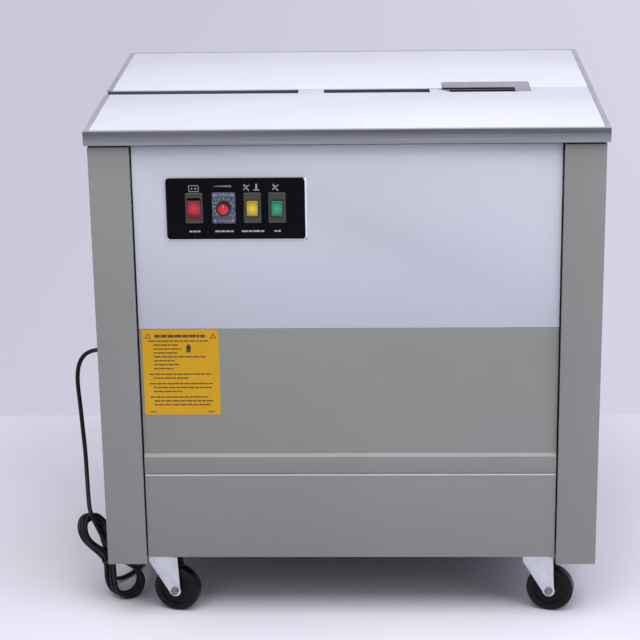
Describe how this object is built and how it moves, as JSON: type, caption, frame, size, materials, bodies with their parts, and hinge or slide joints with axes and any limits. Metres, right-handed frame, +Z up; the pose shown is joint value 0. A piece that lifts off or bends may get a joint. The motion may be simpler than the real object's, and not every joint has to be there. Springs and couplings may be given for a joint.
{
  "type": "semi automatic strapping machine",
  "caption": "Cabinet strapping machine on swivel casters: two hinged table covers over a sealing head with slot, control plate, strap reel inside and a supply cord with hank.",
  "frame": {"origin": "bottom centre of the machine without its cord, on the floor under the wheels", "axes": "+X to the operator's right, +Y from the front to the rear, +Z up"},
  "size_m": [0.8432, 0.6, 0.8],
  "materials": {
    "black_plastic": "moulded",
    "black_plate": "smooth black",
    "cast_head": "painted casting",
    "cord_jacket": "PVC jacket",
    "dark_frame": "primer and paint",
    "dial_grey": "printed plate",
    "green_plastic": "moulded, glossy",
    "grey_enamel": "satin powder coat",
    "ground_steel": "ground and slid smooth",
    "label_film": "printed film",
    "motor_paint": "enamel",
    "red_plastic": "moulded, glossy",
    "roller_rubber": "urethane tyre",
    "stainless_edging": "brushed along its length",
    "strap": "embossed strapping",
    "upper_panel_enamel": "smooth satin enamel",
    "wheel_rubber": "moulded",
    "white_enamel": "smooth semi-gloss enamel",
    "yellow_plastic": "moulded, glossy",
    "zinc_steel": "bright zinc plate"
  },
  "bodies": {
    "cabinet": {"base_frame": "dark_frame", "post_front_left": "grey_enamel", "post_front_right": "grey_enamel", "post_rear_left": "grey_enamel", "post_rear_right": "grey_enamel", "top_frame": "dark_frame", "upper_front_panel": "upper_panel_enamel", "lower_front_panel": "grey_enamel", "kick_panel": "grey_enamel", "left_side_panel": "grey_enamel", "right_side_panel": "grey_enamel", "rear_upper_panel": "grey_enamel", "hinge_brackets": "zinc_steel", "strap_channel": "ground_steel", "slide_plate": "ground_steel", "head_frame": "cast_head", "gearbox": "motor_paint", "drive_motor": "motor_paint", "drive_belt": "black_plastic", "strap_pool_box": "zinc_steel", "electrical_box": "dark_frame", "reel_bracket": "dark_frame", "control_plate": "black_plate", "power_bezel": "black_plastic", "yellow_bezel": "black_plastic", "green_bezel": "black_plastic", "dial_plate": "dial_grey", "safety_label": "label_film", "caster_plates": "zinc_steel", "cord_gland": "black_plastic", "power_cord": "cord_jacket", "cord_hank": "cord_jacket", "cord_plug": "black_plastic"},
    "front_cover": {"front_table_cover": "white_enamel", "front_table_trim": "stainless_edging"},
    "rear_cover": {"rear_table_cover": "white_enamel", "rear_table_trim": "stainless_edging"},
    "door": {"rear_door": "grey_enamel"},
    "rocker": {"power_rocker": "red_plastic"},
    "dial": {"dial_knob": "red_plastic"},
    "yellow_cap": {"yellow_button": "yellow_plastic"},
    "green_cap": {"green_button": "green_plastic"},
    "grippers": {"gripper_set": "ground_steel"},
    "cams": {"cam_shaft": "ground_steel"},
    "motor_drive": {"motor_pulley": "cast_head"},
    "worm_drive": {"gearbox_pulley": "cast_head"},
    "feed": {"feed_roller": "roller_rubber"},
    "pinch": {"pinch_roller": "roller_rubber"},
    "reel": {"reel_inner_flange": "dark_frame", "reel_outer_flange": "dark_frame", "strap_coil": "strap"},
    "fork_front_left": {"caster_fork_front_left": "zinc_steel"},
    "wheel_front_left": {"caster_wheel_front_left": "wheel_rubber"},
    "fork_front_right": {"caster_fork_front_right": "zinc_steel"},
    "wheel_front_right": {"caster_wheel_front_right": "wheel_rubber"},
    "fork_rear_left": {"caster_fork_rear_left": "zinc_steel"},
    "wheel_rear_left": {"caster_wheel_rear_left": "wheel_rubber"},
    "fork_rear_right": {"caster_fork_rear_right": "zinc_steel"},
    "wheel_rear_right": {"caster_wheel_rear_right": "wheel_rubber"}
  },
  "joints": [
    {"name": "front_cover_hinge", "type": "hinge", "parent": "cabinet", "child": "front_cover", "pos_m": [0, -0.275, 0.758], "axis": [1, 0, 0], "range_deg": [0, 80]},
    {"name": "rear_cover_hinge", "type": "hinge", "parent": "cabinet", "child": "rear_cover", "pos_m": [0, 0.275, 0.758], "axis": [-1, 0, 0], "range_deg": [0, 80]},
    {"name": "rear_door_hinge", "type": "hinge", "parent": "cabinet", "child": "door", "pos_m": [0.318, 0.291, 0.33], "axis": [0, 0, -1], "range_deg": [0, 110]},
    {"name": "power_rocker_tilt", "type": "hinge", "parent": "cabinet", "child": "rocker", "pos_m": [-0.229, -0.286, 0.679], "axis": [1, 0, 0], "range_deg": [-16, 0]},
    {"name": "dial_turn", "type": "hinge", "parent": "cabinet", "child": "dial", "pos_m": [-0.1845, -0.2895, 0.679], "axis": [0, 1, 0], "range_deg": [-135, 135]},
    {"name": "yellow_button_press", "type": "slide", "parent": "cabinet", "child": "yellow_cap", "axis": [0, 1, 0], "range_m": [0, 0.0035], "stiffness_N_per_m": 250, "springref_m": -0.002},
    {"name": "green_button_press", "type": "slide", "parent": "cabinet", "child": "green_cap", "axis": [0, 1, 0], "range_m": [0, 0.0035], "stiffness_N_per_m": 250, "springref_m": -0.002},
    {"name": "gripper_lift", "type": "slide", "parent": "cabinet", "child": "grippers", "axis": [0, 0, 1], "range_m": [0, 0.006]},
    {"name": "motor_spin", "type": "hinge", "parent": "cabinet", "child": "motor_drive", "pos_m": [-0.06, 0.045, 0.64], "axis": [0, 1, 0], "continuous": true},
    {"name": "worm_spin", "type": "hinge", "parent": "cabinet", "child": "worm_drive", "pos_m": [0.1, 0.045, 0.618], "axis": [0, 1, 0], "continuous": true},
    {"name": "cam_turn", "type": "hinge", "parent": "cabinet", "child": "cams", "pos_m": [0.2, -0.029, 0.65], "axis": [1, 0, 0], "continuous": true},
    {"name": "feed_spin", "type": "hinge", "parent": "cabinet", "child": "feed", "pos_m": [0.334, -0.029, 0.69], "axis": [0, 1, 0], "continuous": true},
    {"name": "pinch_spin", "type": "hinge", "parent": "cabinet", "child": "pinch", "pos_m": [0.334, -0.029, 0.6517], "axis": [0, 1, 0], "continuous": true},
    {"name": "reel_spin", "type": "hinge", "parent": "cabinet", "child": "reel", "pos_m": [-0.11, 0.05, 0.338], "axis": [0, 1, 0], "continuous": true},
    {"name": "caster_swivel_front_left", "type": "hinge", "parent": "cabinet", "child": "fork_front_left", "pos_m": [-0.299, -0.252, 0.099], "axis": [0, 0, 1], "continuous": true},
    {"name": "wheel_spin_front_left", "type": "hinge", "parent": "fork_front_left", "child": "wheel_front_left", "pos_m": [-0.27959, -0.25684, 0.0375], "axis": [-0.2419, -0.9703, 0], "continuous": true},
    {"name": "caster_swivel_front_right", "type": "hinge", "parent": "cabinet", "child": "fork_front_right", "pos_m": [0.299, -0.252, 0.099], "axis": [0, 0, 1], "continuous": true},
    {"name": "wheel_spin_front_right", "type": "hinge", "parent": "fork_front_right", "child": "wheel_front_right", "pos_m": [0.31841, -0.25684, 0.0375], "axis": [-0.2419, -0.9703, 0], "continuous": true},
    {"name": "caster_swivel_rear_left", "type": "hinge", "parent": "cabinet", "child": "fork_rear_left", "pos_m": [-0.299, 0.252, 0.099], "axis": [0, 0, 1], "continuous": true},
    {"name": "wheel_spin_rear_left", "type": "hinge", "parent": "fork_rear_left", "child": "wheel_rear_left", "pos_m": [-0.28073, 0.26014, 0.0375], "axis": [0.4067, -0.9135, 0], "continuous": true},
    {"name": "caster_swivel_rear_right", "type": "hinge", "parent": "cabinet", "child": "fork_rear_right", "pos_m": [0.299, 0.252, 0.099], "axis": [0, 0, 1], "continuous": true},
    {"name": "wheel_spin_rear_right", "type": "hinge", "parent": "fork_rear_right", "child": "wheel_rear_right", "pos_m": [0.31476, 0.23969, 0.0375], "axis": [-0.6157, -0.788, 0], "continuous": true}
  ],
  "couplings": [
    {"joint": "worm_spin", "follows": "motor_spin", "ratio": 0.47619},
    {"joint": "cam_turn", "follows": "motor_spin", "ratio": 0.02381},
    {"joint": "pinch_spin", "follows": "feed_spin", "ratio": -1.375}
  ]
}
